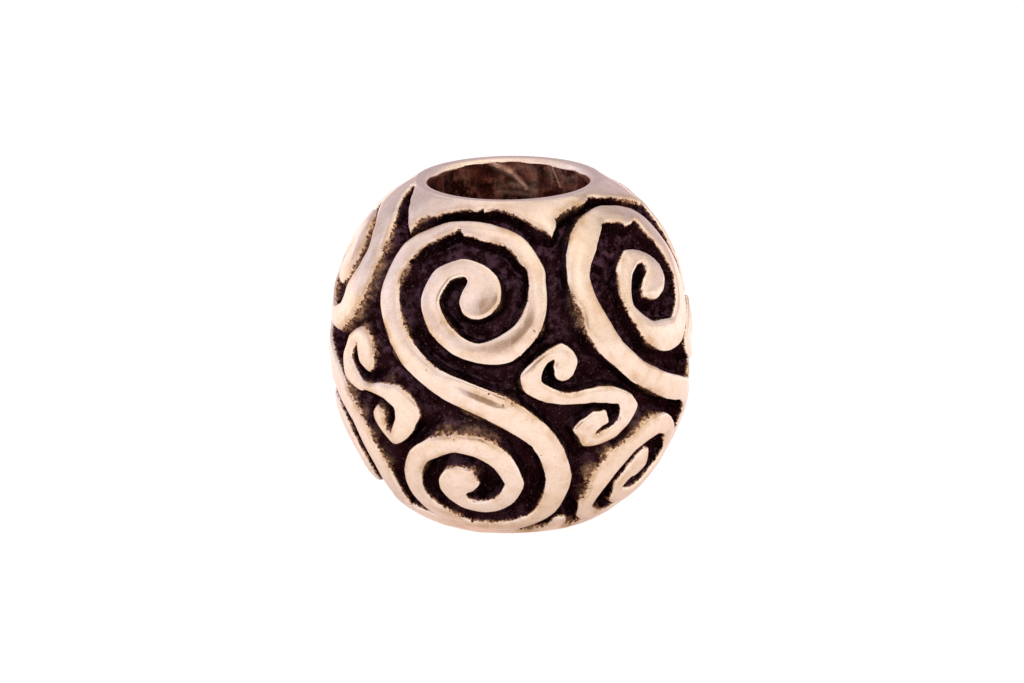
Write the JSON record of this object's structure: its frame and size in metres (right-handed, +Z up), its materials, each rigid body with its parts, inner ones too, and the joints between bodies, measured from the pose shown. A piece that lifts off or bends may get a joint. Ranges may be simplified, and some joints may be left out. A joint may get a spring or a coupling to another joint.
{
  "type": "dreadlock bead",
  "caption": "Short cast bronze barrel bead with a wide bore, raised double scrolls around its side and a smooth scalloped collar at each end.",
  "frame": {"origin": "centre of the lower face, on the bore's axis", "axes": "+Z up along the bore, -Y towards the side that the picture shows, +X to the viewer's right"},
  "size_m": [0.0159, 0.016, 0.015],
  "materials": {
    "bronze": "polished on the raised scrolls, with a dark purple-brown patina in the ground and in the bore"
  },
  "bodies": {
    "root": {"bead": "bronze"}
  },
  "joints": []
}
